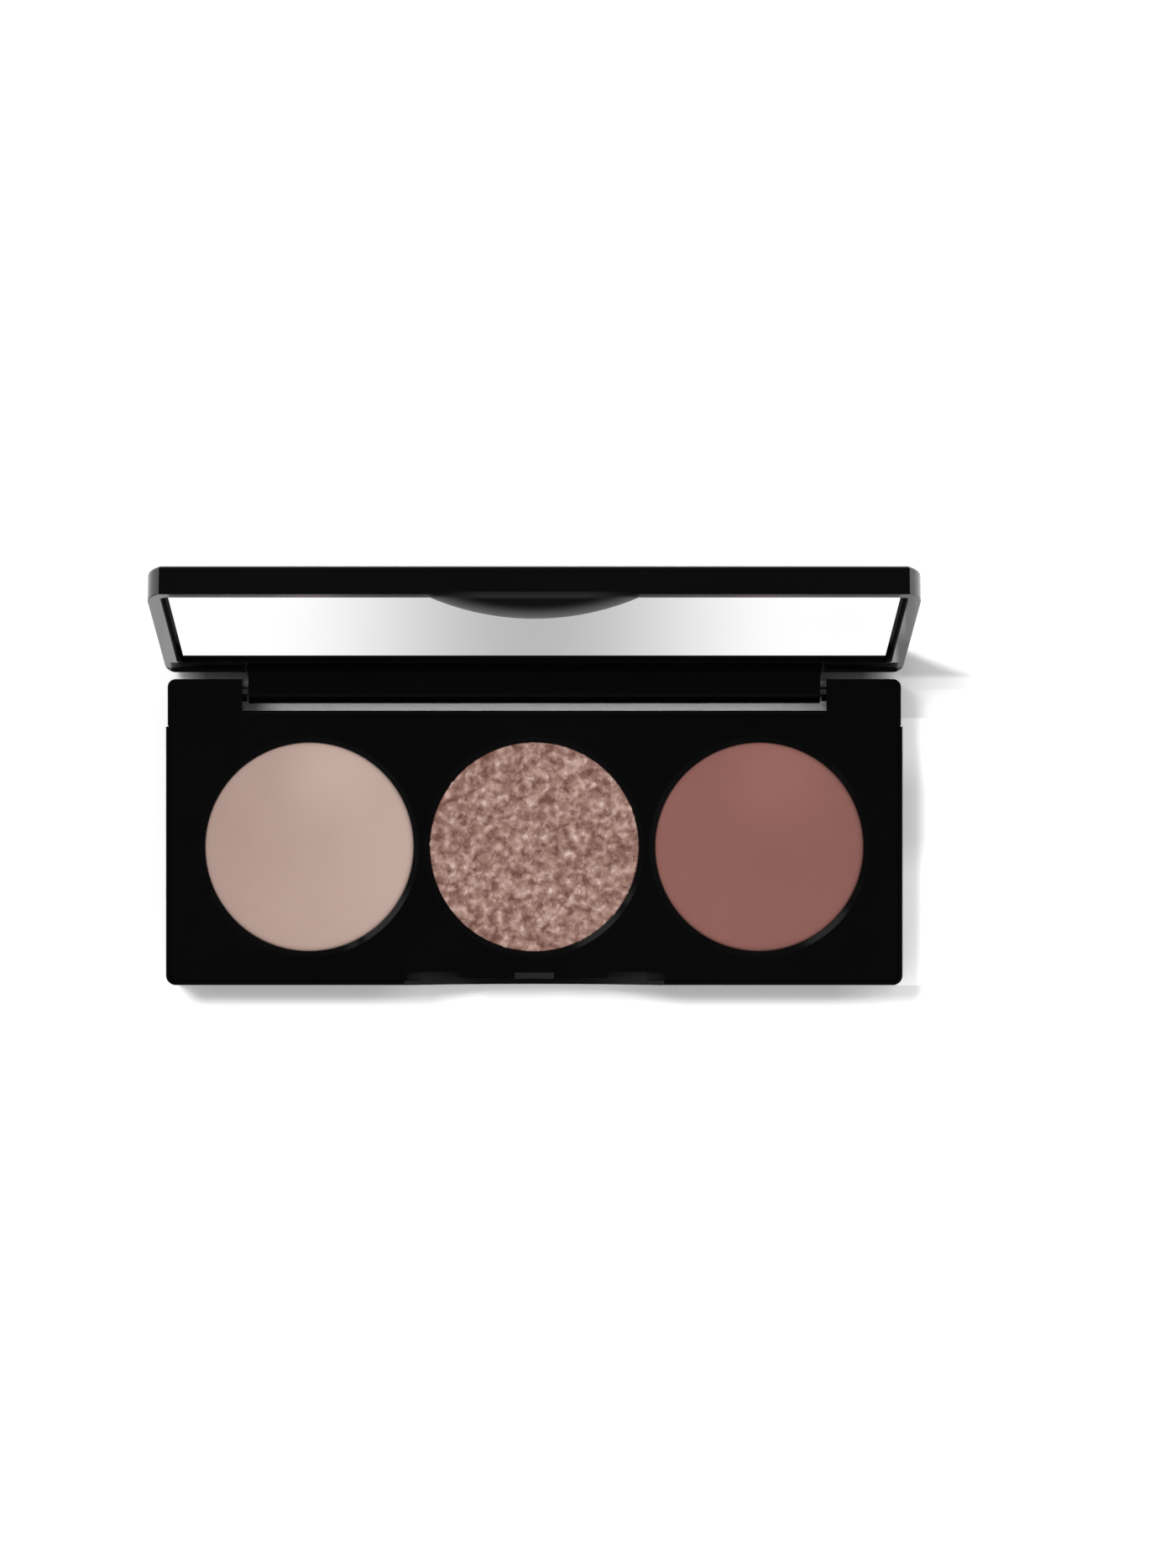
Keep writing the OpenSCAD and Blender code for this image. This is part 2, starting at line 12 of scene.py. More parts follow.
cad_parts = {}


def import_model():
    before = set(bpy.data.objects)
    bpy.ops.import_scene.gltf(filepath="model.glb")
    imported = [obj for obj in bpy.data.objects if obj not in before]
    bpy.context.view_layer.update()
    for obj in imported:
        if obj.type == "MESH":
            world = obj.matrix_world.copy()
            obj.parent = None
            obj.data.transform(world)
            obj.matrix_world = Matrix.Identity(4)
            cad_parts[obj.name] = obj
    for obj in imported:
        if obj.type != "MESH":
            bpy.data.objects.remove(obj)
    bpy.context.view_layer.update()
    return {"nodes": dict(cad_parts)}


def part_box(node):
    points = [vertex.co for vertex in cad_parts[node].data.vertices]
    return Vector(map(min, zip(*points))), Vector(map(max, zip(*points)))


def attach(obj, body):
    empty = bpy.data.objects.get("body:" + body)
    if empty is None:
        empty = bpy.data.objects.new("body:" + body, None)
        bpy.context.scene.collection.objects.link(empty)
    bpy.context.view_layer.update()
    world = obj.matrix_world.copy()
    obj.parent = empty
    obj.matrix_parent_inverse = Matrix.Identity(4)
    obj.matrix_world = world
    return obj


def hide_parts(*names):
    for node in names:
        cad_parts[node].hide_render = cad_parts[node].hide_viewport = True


MM = 0.001

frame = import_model()
nodes = frame["nodes"]
scene = bpy.context.scene


# ---------- node helpers ----------


def new_tree(owner):
    """The emptied node tree of a material or a world."""
    owner.use_nodes = True
    tree = owner.node_tree
    tree.nodes.clear()
    return tree


def add(tree, kind, inputs=None, **props):
    """A node with its properties and its input values or links."""
    n = tree.nodes.new(kind)
    for key, value in props.items():
        setattr(n, key, value)
    for key, value in (inputs or {}).items():
        if isinstance(value, bpy.types.NodeSocket):
            tree.links.new(value, n.inputs[key])
        else:
            n.inputs[key].default_value = value
    return n


def calc(tree, operation, a, b=0.0):
    return add(tree, "ShaderNodeMath", {0: a, 1: b}, operation=operation).outputs[0]


def product(tree, first, *others):
    for other in others:
        first = calc(tree, "MULTIPLY", first, other)
    return first


def total(tree, first, *others):
    for other in others:
        first = calc(tree, "ADD", first, other)
    return first


def rest(tree, share):
    """What a share leaves of one."""
    return calc(tree, "SUBTRACT", 1.0, share)


def away(tree, value, place=0.0):
    """How far a value is from a place, to either side."""
    return calc(tree, "ABSOLUTE", calc(tree, "SUBTRACT", value, place))


def above(tree, value, limit):
    return calc(tree, "GREATER_THAN", value, limit)


def below(tree, value, limit):
    return calc(tree, "LESS_THAN", value, limit)


def within(tree, value, low, high):
    return product(tree, above(tree, value, low), below(tree, value, high))


def spread(tree, value, low, high, start=0.3, end=0.7, easing="LINEAR"):
    """From low at start to high at end, and no further on either side."""
    n = add(tree, "ShaderNodeMapRange", {"Value": value, "From Min": start, "From Max": end,
                                         "To Min": low, "To Max": high}, interpolation_type=easing)
    return n.outputs["Result"]


def rise(tree, value, start, end):
    return spread(tree, value, 0.0, 1.0, start, end)


def fall(tree, value, start, end):
    return spread(tree, value, 1.0, 0.0, start, end)


def own_place(tree):
    """Place in the row frame."""
    return add(tree, "ShaderNodeTexCoord").outputs["Object"]


def place_mm(tree):
    """Place in the row frame as x, y and z, in millimetres."""
    scaled = add(tree, "ShaderNodeVectorMath", {0: own_place(tree), "Scale": 1 / MM}, operation="SCALE")
    return add(tree, "ShaderNodeSeparateXYZ", {0: scaled.outputs[0]}).outputs


def facing(tree, vector, way):
    """How far a vector goes along a way."""
    return add(tree, "ShaderNodeVectorMath", {0: vector, 1: way}, operation="DOT_PRODUCT").outputs["Value"]


def ramp(tree, factor, stops):
    """Colour ramp with (place, linear RGB) stops."""
    n = add(tree, "ShaderNodeValToRGB", {"Fac": factor})
    elements = n.color_ramp.elements
    while len(elements) > 1:
        elements.remove(elements[-1])
    elements[0].position = stops[0][0]
    elements[0].color = (*stops[0][1], 1)
    for place, colour in stops[1:]:
        elements.new(place).color = (*colour, 1)
    return n.outputs["Color"]


def noise_at(tree, scale, detail=2.0, rough=0.5, distortion=0.0):
    """Noise in the row frame: scale is features per metre."""
    n = add(tree, "ShaderNodeTexNoise", {"Vector": own_place(tree), "Scale": scale, "Detail": detail,
                                         "Roughness": rough, "Distortion": distortion})
    return n.outputs["Fac"]


def bump(tree, height, distance, strength=1.0, normal=None):
    inputs = {"Height": height, "Distance": distance, "Strength": strength}
    if normal is not None:
        inputs["Normal"] = normal
    return add(tree, "ShaderNodeBump", inputs).outputs["Normal"]


def surface(tree, colour, roughness, normal, **fixed):
    """Principled surface; what is the same all over is set on its own socket."""
    names = {"metallic": "Metallic", "ior": "IOR", "specular": "Specular IOR Level", "sheen": "Sheen Weight"}
    inputs = {names[key]: value for key, value in fixed.items()}
    inputs.update({"Base Color": colour, "Roughness": roughness, "Normal": normal})
    shader = add(tree, "ShaderNodeBsdfPrincipled", inputs)
    add(tree, "ShaderNodeOutputMaterial", {"Surface": shader.outputs[0]})
    return shader


def mix(tree, share, first, second):
    """The second shader by its share, and the first for the rest."""
    return add(tree, "ShaderNodeMixShader", {0: share, 1: first, 2: second}).outputs[0]


def srgb(r, g, b):
    """Linear colour of an 8-bit screen colour."""
    def one(v):
        v /= 255
        return v / 12.92 if v <= 0.04045 else ((v + 0.055) / 1.055) ** 2.4
    return (one(r), one(g), one(b))


# ---------- black plastic ----------

# Roughness of the glossy and the satin mouldings, from and to.
GLOSS = (0.07, 0.11)
SATIN = (0.1, 0.15)

# The open lid's own frame in millimetres: hinge axis, how far behind it the rim plane lies, and angle.
PIVOT_Y = 17.2
PIVOT_Z = 4.4
RIM_BEHIND_PIVOT = 2.75
OPEN = math.radians(103)

# Mirror pocket, in millimetres as lid_place gives them.
POCKET_HALF_X = 43.75
POCKET_ALONG = (3.55, 34.5)
POCKET_BEHIND = (0.05, 2.2)
POCKET_ROUGH = 0.62

# Arched lip beyond the pocket, in the same way: radius of its arch, drop below the rim, half width of the
# part that is matt.
LIP_ALONG = 34.5
LIP_ARC = 31.8
LIP_DROP = 2.6
LIP_HALF_X = 13.0
# How far behind the rim its painted highlights and its roughness reach.
LIP_TONE_TO = 0.4
LIP_ROUGH_TO = -0.05
LIP_ROUGH = 0.4
# Painted highlight, a paler line along the lip's root: place, fade from there, and fade towards the ends.
ROOT_BEHIND = -0.1
ROOT_FADE = (0.1, 0.5)
ROOT_ENDS = (6.0, 11.5)
ROOT_HIGHLIGHT = 0.02
# Painted highlight on the lip's soft edge, which is paler: width, and fade towards the rim.
EDGE_WIDTH = 1.4
EDGE_FADE = (-0.5, -0.05)
EDGE_HIGHLIGHT = 0.12

# Finger notch in the base, in millimetres, with its roughness and the painted sheen on its sides.
NOTCH_HALF_X = 15.95
NOTCH_Y = (-18.6, -17.0)
NOTCH_Z = (2.7, 6.95)
NOTCH_ROUGH = 0.6
NOTCH_SIDES = (6.0, 9.0)
NOTCH_SHEEN = 0.007


def lid_place(tree):
    """Place on the lid in millimetres: how far from the middle, from the hinge axis and behind the rim."""
    x, y, z = place_mm(tree)
    y = calc(tree, "SUBTRACT", y, PIVOT_Y)
    z = calc(tree, "SUBTRACT", z, PIVOT_Z)
    along = calc(tree, "SUBTRACT", product(tree, z, math.sin(OPEN)), product(tree, y, math.cos(OPEN)))
    behind_pivot = total(tree, product(tree, y, math.sin(OPEN)), product(tree, z, math.cos(OPEN)))
    return away(tree, x), along, calc(tree, "SUBTRACT", behind_pivot, RIM_BEHIND_PIVOT)


def lid_texture(tree):
    """Roughness of the lid's matt parts, the pocket and the lip, and painted highlights on the lip's root and
    edge.
    """
    x, along, behind = lid_place(tree)
    pocket = product(tree, below(tree, x, POCKET_HALF_X), within(tree, along, *POCKET_ALONG),
                     within(tree, behind, *POCKET_BEHIND))
    lip = product(tree, below(tree, x, LIP_HALF_X), above(tree, along, LIP_ALONG),
                  below(tree, behind, LIP_TONE_TO))
    rough = total(tree, product(tree, pocket, POCKET_ROUGH),
                  product(tree, lip, below(tree, behind, LIP_ROUGH_TO), LIP_ROUGH))
    # Painted highlights on the lip: a paler line along its root, and a paler soft edge.
    root_highlight = product(tree, fall(tree, away(tree, behind, ROOT_BEHIND), *ROOT_FADE), fall(tree, x, *ROOT_ENDS),
                   ROOT_HIGHLIGHT)
    down = calc(tree, "SUBTRACT", LIP_ARC - LIP_DROP, behind)
    reach = calc(tree, "SQRT", total(tree, product(tree, x, x), product(tree, down, down)))
    rim = rise(tree, reach, LIP_ARC - EDGE_WIDTH, LIP_ARC)
    edge = product(tree, rim, rim, fall(tree, behind, *EDGE_FADE), EDGE_HIGHLIGHT)
    return rough, product(tree, lip, total(tree, root_highlight, edge))


def notch_texture(tree):
    """Roughness of the base's finger notch and a painted sheen on its sides, nothing elsewhere on the base.
    """
    x, y, z = place_mm(tree)
    x = away(tree, x)
    notch = product(tree, below(tree, x, NOTCH_HALF_X), within(tree, y, *NOTCH_Y), within(tree, z, *NOTCH_Z))
    # The notch's tone is a painted sheen on its sides.
    return product(tree, notch, NOTCH_ROUGH), product(tree, notch, rise(tree, x, *NOTCH_SIDES), NOTCH_SHEEN)


def black_plastic(name, polish, texture=None):
    """Moulded black: near-black with faint flow marks and a very shallow orange peel.

    Some parts are left matt from the mould, and the texture gives their roughness and a painted highlight or
    sheen.
    """
    material = bpy.data.materials.new(name)
    tree = new_tree(material)
    colour = ramp(tree, noise_at(tree, 55, 3), [(0.3, (0.001, 0.001, 0.0011)),
                                                (0.7, (0.0018, 0.0018, 0.002))])
    rough = spread(tree, noise_at(tree, 140, 4, 0.6, 0.4), *polish)
    if texture:
        matt, tone = texture(tree)
        rough = calc(tree, "MAXIMUM", rough, matt)
        # The texture's tone is a painted highlight or sheen, added to the colour.
        colour = add(tree, "ShaderNodeVectorMath", {0: colour, 1: tone}, operation="ADD").outputs[0]
    peel = bump(tree, noise_at(tree, 420, 1), 0.000004, 0.35)
    fine = bump(tree, noise_at(tree, 5200, 2), 0.0000008, 0.5, peel)
    surface(tree, colour, rough, fine, ior=1.5)
    return material


# ---------- mirror, metal and adhesive ----------

# What of the mirror lies deeper behind the rim than this, in millimetres, is its ground edge.
MIRROR_EDGE = 0.5
MIRROR_EDGE_ROUGH = 0.6


def mirror_silver():
    """Silvered glass: a bright face with a trace of haze, and dark ground edges."""
    material = bpy.data.materials.new("mirror_silver")
    tree = new_tree(material)
    edge = above(tree, lid_place(tree)[2], MIRROR_EDGE)
    face = ramp(tree, noise_at(tree, 40, 2), [(0.3, (0.955, 0.957, 0.96)), (0.7, (0.975, 0.977, 0.98))])
    ground = ramp(tree, noise_at(tree, 3000, 3), [(0.3, (0.012, 0.015, 0.014)), (0.7, (0.03, 0.036, 0.034))])
    colour = add(tree, "ShaderNodeMix", {0: edge, 6: face, 7: ground}, data_type="RGBA").outputs[2]
    haze = spread(tree, noise_at(tree, 90, 4, 0.6), 0.0, 0.012)
    flat = bump(tree, noise_at(tree, 25, 1), 0.0000002, 0.1)
    shader = surface(tree, colour, total(tree, haze, product(tree, edge, MIRROR_EDGE_ROUGH)), flat)
    tree.links.new(rest(tree, edge), shader.inputs["Metallic"])
    return material


def bare_metal(name, tone, polish, grain=(3000, 3000, 3000)):
    """Metal with a fine grain, given per metre along each axis, so that drawn wire has long lines."""
    material = bpy.data.materials.new(name)
    tree = new_tree(material)
    stretched = add(tree, "ShaderNodeMapping", {"Vector": own_place(tree), "Scale": grain}).outputs[0]
    lines = add(tree, "ShaderNodeTexNoise", {"Vector": stretched, "Scale": 1.0, "Detail": 3.0}).outputs["Fac"]
    colour = ramp(tree, noise_at(tree, 500, 3), [(0.3, tuple(0.9 * t for t in tone)), (0.7, tone)])
    surface(tree, colour, spread(tree, lines, *polish), bump(tree, lines, 0.000003, 0.4), metallic=1.0)
    return material


def adhesive():
    """Milky adhesive film with a faint fibrous cloud."""
    material = bpy.data.materials.new("adhesive_film")
    tree = new_tree(material)
    fibre = noise_at(tree, 900, 5, 0.7, 1.5)
    colour = ramp(tree, fibre, [(0.3, (0.62, 0.61, 0.56)), (0.7, (0.8, 0.79, 0.75))])
    surface(tree, colour, spread(tree, fibre, 0.4, 0.65), bump(tree, fibre, 0.00001, 0.4), ior=1.45)
    return material


# ---------- the powders' materials ----------

# Shares of painted shading across the face, of cloud and of specks in a matte powder's tone.
SHADING_SHARE = 0.62
CLOUD_SHARE = 0.2
SPECK_SHARE = 0.18

# Share that a shimmer flake's own shade has in its tone; the rest is that of the patch it lies in.
OWN_SHARE = 0.3


def matte_powder(name, dark, light, shading_way, shading_span, highlight_centre, highlight_reach, highlight_strength):
    """Pressed powder: matte and finely grained, with painted shading across the face and a painted highlight.

    The painted shading goes from dark to light over the span given along the way, in metres from the row's
    origin.
    """
    material = bpy.data.materials.new(name)
    tree = new_tree(material)
    place = own_place(tree)
    cloud = noise_at(tree, 130, 3)
    speck = noise_at(tree, 4500, 3, 0.7)
    grain = noise_at(tree, 1700, 4, 0.7)
    # Painted shading: the face lightens towards one side. Painted highlight: a paler patch round one place.
    shading_drift = rise(tree, facing(tree, place, shading_way), *shading_span)
    mixed = total(tree, product(tree, shading_drift, SHADING_SHARE), product(tree, cloud, CLOUD_SHARE),
                  product(tree, speck, SPECK_SHARE))
    gap = add(tree, "ShaderNodeVectorMath", {0: place, 1: highlight_centre}, operation="DISTANCE").outputs["Value"]
    painted_highlight = spread(tree, gap, highlight_strength, 0.0, 0.0, highlight_reach, "SMOOTHSTEP")
    colour = ramp(tree, total(tree, mixed, painted_highlight), [(0.12, dark), (0.9, light), (1.0, light)])
    coarse = bump(tree, grain, 0.00003, 0.35)
    fine = bump(tree, speck, 0.00001, 0.5, coarse)
    surface(tree, colour, spread(tree, grain, 0.82, 0.95), fine, ior=1.4, specular=0.25, sheen=0.05)
    return material


def shimmer_clump(tree):
    """Irregular patches about a millimetre across, from nothing in the dark ones to one in the pale ones."""
    return spread(tree, noise_at(tree, 900, 1, 0.5, 0.3), 0.0, 1.0)


def glitter_bed():
    """Darker pressed bed that the flakes lie in."""
    material = bpy.data.materials.new("glitter_bed")
    tree = new_tree(material)
    clump = shimmer_clump(tree)
    colour = ramp(tree, clump, [(0.0, srgb(120, 80, 69)), (0.5, srgb(164, 124, 112)),
                                (1.0, srgb(206, 170, 159))])
    grit = bump(tree, noise_at(tree, 4200, 3), 0.00003, 0.5)
    surface(tree, colour, spread(tree, clump, 0.45, 0.7), grit, ior=1.5)
    return material


def glitter_flake():
    """Shimmer flakes, each with its own shade."""
    material = bpy.data.materials.new("glitter_flake")
    tree = new_tree(material)
    own = add(tree, "ShaderNodeNewGeometry").outputs["Random Per Island"]
    tone = total(tree, product(tree, own, OWN_SHARE), product(tree, shimmer_clump(tree), 1 - OWN_SHARE))
    colour = ramp(tree, tone, [(0.08, srgb(128, 87, 76)), (0.3, srgb(153, 112, 101)),
                               (0.5, srgb(173, 134, 122)), (0.7, srgb(193, 156, 145)),
                               (0.88, srgb(214, 179, 169)), (1.0, srgb(233, 207, 199))])
    surface(tree, colour, spread(tree, noise_at(tree, 3000, 2), 0.35, 0.55),
            bump(tree, noise_at(tree, 9000, 2), 0.000004, 0.3), metallic=0.06, ior=1.6)
    return material


# ---------- the frame's own pieces ----------


def dress(material, *names):
    for name in names:
        mesh = nodes[name].data
        mesh.materials.clear()
        mesh.materials.append(material)


dress(black_plastic("black_gloss", GLOSS, notch_texture), "base_shell")
dress(black_plastic("lid_gloss", GLOSS, lid_texture), "lid_shell")
dress(black_plastic("black_satin", SATIN), "pan_tray")
dress(bare_metal("drawn_steel", (0.56, 0.56, 0.58), (0.2, 0.35), (400, 9000, 9000)),
      "hinge_pin_left", "hinge_pin_right")
dress(bare_metal("pan_sheet", (0.77, 0.77, 0.79), (0.22, 0.4)), "pan_left", "pan_center", "pan_right")
dress(adhesive(), "mirror_tape", "pan_glue_left", "pan_glue_center", "pan_glue_right")
dress(mirror_silver(), "mirror_glass")


# ---------- powders ----------

# How far a cake reaches into its pan's wall, so that no gap shows.
CAKE_OVERLAP = 0.06 * MM
# Share of the rounded edge's width by which it drops.
EDGE_DROP = 0.67
# The face's rings crowd towards its edge, and the more so the smaller this power is.
RING_POWER = 0.9

# Fine grain and slow waves of a pressed face, per metre, and the depths of both in each kind of powder.
GRAIN = 1800
WAVES = 160
MATTE_RELIEF = (0.012 * MM, 0.02 * MM)
SHIMMER_RELIEF = (0.09 * MM, 0.05 * MM)

# Shimmer flakes, in millimetres: size from centre to corner, depth of the centre, and bare rim of the face.
FLAKES = 2600
FLAKE_SEED = 11
FLAKE_SIZE = (0.22, 0.6)
FLAKE_THICK = 0.03
FLAKE_DEPTH = (0.02, 0.1)
FLAKE_MARGIN = 0.35
# Share of its size that a corner keeps, and spread of the tilts in degrees.
FLAKE_CORNER = (0.75, 1.0)
FLAKE_TILT = 13


def piece(name, verts, faces, material, body, rounded=True):
    mesh = bpy.data.meshes.new(name)
    mesh.from_pydata(verts, [], faces)
    mesh.validate()
    if rounded:
        mesh.shade_smooth()
    mesh.materials.append(material)
    obj = bpy.data.objects.new(name, mesh)
    scene.collection.objects.link(obj)
    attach(obj, body)
    return obj


def pressed(seed, grain_depth, wave_depth):
    """Relief of a pressed face, as the depth below its top: fine grain, and slow waves left by the press."""
    shift = Vector((seed, 2 * seed, 0.0))

    def depth(x, y):
        grain = noise.noise(Vector((x, y, 0)) * GRAIN + shift) * 0.5 + 0.5
        wave = noise.noise(Vector((x, y, 0)) * WAVES + shift) * 0.5 + 0.5
        return grain_depth * grain + wave_depth * wave
    return depth


def cake(name, node, material, relief, edge=0.75 * MM, rings=84, spokes=264):
    """Pressed cake of powder: a closed disc whose face has a rounded edge and real relief.

    It gives back the middle, the radius and the height of the face.
    """
    low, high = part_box(node)
    cx, cy = (low[0] + high[0]) / 2, (low[1] + high[1]) / 2
    radius, top, foot = (high[0] - low[0]) / 2 + CAKE_OVERLAP, high[2], low[2]
    verts, faces = [], []
    verts.append((cx, cy, top - relief(0, 0)))
    for i in range(1, rings + 1):
        r = radius * math.sin(math.pi / 2 * i / rings) ** RING_POWER
        over = max(0.0, r - (radius - edge))
        drop = EDGE_DROP * (edge - math.sqrt(max(0.0, edge * edge - over * over)))
        fade = 1 - over / edge
        for j in range(spokes):
            a = 2 * math.pi * j / spokes
            x, y = r * math.cos(a), r * math.sin(a)
            verts.append((cx + x, cy + y, top - drop - relief(x, y) * fade))
    for j in range(spokes):
        a = 2 * math.pi * j / spokes
        verts.append((cx + radius * math.cos(a), cy + radius * math.sin(a), foot))
    verts.append((cx, cy, foot))
    last = 1 + rings * spokes
    for j in range(spokes):
        k = (j + 1) % spokes
        faces.append((0, 1 + j, 1 + k))
        for i in range(rings):
            a, b = 1 + i * spokes, 1 + (i + 1) * spokes
            faces.append((a + j, b + j, b + k, a + k))
        faces.append((last + j, len(verts) - 1, last + k))
    obj = piece(name, verts, faces, material, "base")
    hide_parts(node)
    return cx, cy, radius, top


def flakes(cx, cy, radius, top):
    """Thin six-sided flakes lying at odd tilts in the face of the shimmer powder."""
    rng = random.Random(FLAKE_SEED)
    verts, faces = [], []
    reach = radius - FLAKE_MARGIN * MM
    for _ in range(FLAKES):
        r, a = reach * math.sqrt(rng.random()), 2 * math.pi * rng.random()
        size = rng.uniform(*FLAKE_SIZE) * MM
        tilt, turn = math.radians(abs(rng.gauss(0, FLAKE_TILT))), 2 * math.pi * rng.random()
        normal = Vector((math.sin(tilt) * math.cos(turn), math.sin(tilt) * math.sin(turn), math.cos(tilt)))
        side = normal.cross(Vector((math.cos(turn + 1), math.sin(turn + 1), 0))).normalized()
        other = normal.cross(side)
        centre = Vector((cx + r * math.cos(a), cy + r * math.sin(a), top - rng.uniform(*FLAKE_DEPTH) * MM))
        start = len(verts)
        shape = [rng.uniform(*FLAKE_CORNER) for _ in range(6)]
        for level in (0.5, -0.5):
            for k in range(6):
                b = math.pi / 3 * k
                p = centre + (side * math.cos(b) + other * math.sin(b)) * size * shape[k]
                verts.append(tuple(p + normal * level * FLAKE_THICK * MM))
        faces.append(tuple(start + k for k in range(6)))
        faces.append(tuple(start + 6 + k for k in reversed(range(6))))
        for k in range(6):
            n = (k + 1) % 6
            faces.append((start + k, start + 6 + k, start + 6 + n, start + n))
    obj = piece("shimmer_flakes", verts, faces, glitter_flake(), "base", rounded=False)


# Each powder gets painted shading across its face and a painted highlight.
pale = matte_powder("powder_pale", dark=srgb(176, 149, 139), light=srgb(206, 180, 169),
                    shading_way=(1.0, 0.0, 0.0), shading_span=(-0.0383, -0.0108),
                    highlight_centre=(-0.0248, 0.0077, 0.0068), highlight_reach=0.0085, highlight_strength=0.3)
rosy = matte_powder("powder_rosy", dark=srgb(138, 93, 87), light=srgb(164, 112, 102),
                    shading_way=(-1.0, 0.0, 0.0), shading_span=(-0.055, 0.125),
                    highlight_centre=(0.0301, 0.0077, 0.0068), highlight_reach=0.01, highlight_strength=0.34)
cake("cake_left", "powder_left", pale, pressed(3.1, *MATTE_RELIEF))
cake("cake_right", "powder_right", rosy, pressed(7.7, *MATTE_RELIEF))
shimmer_face = cake("cake_center", "powder_center", glitter_bed(),
                    pressed(5.3, *SHIMMER_RELIEF), edge=0.4 * MM)
flakes(*shimmer_face)


# ---------- stage ----------


def sheet(name, half_x, front, rear, z):
    """Flat sheet of the stage, in millimetres, and the empty tree of its material."""
    corners = [(-half_x, front, z), (half_x, front, z), (half_x, rear, z), (-half_x, rear, z)]
    mesh = bpy.data.meshes.new(name)
    mesh.from_pydata([tuple(Vector(corner) * MM) for corner in corners], [], [(0, 1, 2, 3)])
    obj = bpy.data.objects.new(name, mesh)
    scene.collection.objects.link(obj)
    material = bpy.data.materials.new(name)
    mesh.materials.append(material)
    return obj, new_tree(material)


def looks(tree):
    """One for the camera's own rays, and one for those by way of gloss that met no matte surface."""
    path = add(tree, "ShaderNodeLightPath").outputs
    shiny = calc(tree, "MAXIMUM", path["Is Glossy Ray"], path["Is Transmission Ray"])
    return path["Is Camera Ray"], product(tree, shiny, below(tree, path["Diffuse Depth"], 0.5))


# ---------- floor ----------

# Half size and height of the floor, in millimetres: just under the palette's foot.
FLOOR_HALF = 6000
FLOOR_Z = -0.03

# The floor's tone for all light, and what the camera and gloss see on top of it, to burn it out to white.
FLOOR_TONE = 0.85
FLOOR_GAIN = 0.48

# Painted light and painted shadow: the gain below lightens or darkens the lamp's shadows on the floor in
# these places.
# Places where the gain differs, in millimetres, so that the shadows get the photograph's shape.
# Under the slot in front of the hinge: painted light, far paler, but painted shadow at the slot's left end.
SLOT_HALF_X = 36.0
SLOT_Y = (13.7, 16.5)
SLOT_LEFT = (-34.5, -31.5)
SLOT_GAIN = (-0.4, 3.1)
# In the narrow gap along the base's rear, which shows behind the ears: painted shade, darker in tone and
# gain, but for the gap's ends.
GAP_Y = (18.6, 20.2)
GAP_ENDS = (40.5, 44.5)
GAP_SHADE = 0.8
# At the lid's right foot: painted shadow, a darker wedge between a straight front edge and a rear edge
# sloping to it.
WEDGE_FRONT = (18.8, 19.5)
WEDGE_LEFT = (44.0, 45.5)
WEDGE_CORNER = (46.5, 22.0)
WEDGE_SLOPE = -0.364
WEDGE_REAR = (-0.4, 0.7)
WEDGE_SHADE = 0.33
# Round the wedge: painted light makes the lid's shadow paler, more so behind the wedge, less so in a band
# close to the lid.
LOBE_LEFT = (46.8, 49.5)
LOBE_FRONT = (12.5, 15.0)
LOBE_REAR = (19.5, 21.5)
LOBE_LIFT = (0.22, 0.42)
BAND_Y = (17.5, 21.3)
BAND_RIGHT = (50.0, 55.0)
BAND_SHADE = 0.15
# Beside the base's right side: painted light makes the shadow paler away from its darkest place.
SIDE_LEFT = 44.5
SIDE_Y = (-19.0, 14.0)
SIDE_DARKEST = 2.2
SIDE_FADE = (3.0, 7.5)
SIDE_LIFT = 0.34
# In front of the base: painted shadow, darker to the left and to the right of the finger notch.
FRONT_REAR = -17.0
FRONT_EDGE = (-21.5, -20.5)
FRONT_LEFT = (-44.0, -41.0)
FRONT_NOTCH_LEFT = (-20.0, -14.0)
FRONT_NOTCH_RIGHT = (9.0, 17.0)
FRONT_RIGHT = (37.0, 42.0)
FRONT_SHADE = 0.28
# Behind the lid: painted light, a little paler.
REAR_Y = (28.0, 34.0)
REAR_LIFT = 0.13


def lid_foot(tree, x, y):
    """The wedge of painted shadow at the lid's right foot, and the painted light that pales the shadow round
    it.
    """
    slope = product(tree, calc(tree, "SUBTRACT", x, WEDGE_CORNER[0]), WEDGE_SLOPE)
    rear = total(tree, slope, WEDGE_CORNER[1])
    wedge_shadow = product(tree, rise(tree, x, *WEDGE_LEFT), rise(tree, y, *WEDGE_FRONT),
                    rise(tree, calc(tree, "SUBTRACT", rear, y), *WEDGE_REAR))
    band = product(tree, within(tree, y, *BAND_Y), fall(tree, x, *BAND_RIGHT), BAND_SHADE)
    lift = calc(tree, "SUBTRACT", spread(tree, y, *LOBE_LIFT, *LOBE_REAR), band)
    lobe = product(tree, rise(tree, x, *LOBE_LEFT), rise(tree, y, *LOBE_FRONT), rest(tree, wedge_shadow))
    return wedge_shadow, product(tree, lift, lobe)


def front_strip(tree, x, y):
    """The two stretches of painted shadow in front of the base, beside the finger notch."""
    right = product(tree, rise(tree, x, *FRONT_NOTCH_RIGHT), fall(tree, x, *FRONT_RIGHT))
    stretches = total(tree, fall(tree, x, *FRONT_NOTCH_LEFT), right)
    return product(tree, stretches, rise(tree, x, *FRONT_LEFT), rise(tree, y, *FRONT_EDGE),
                   below(tree, y, FRONT_REAR))


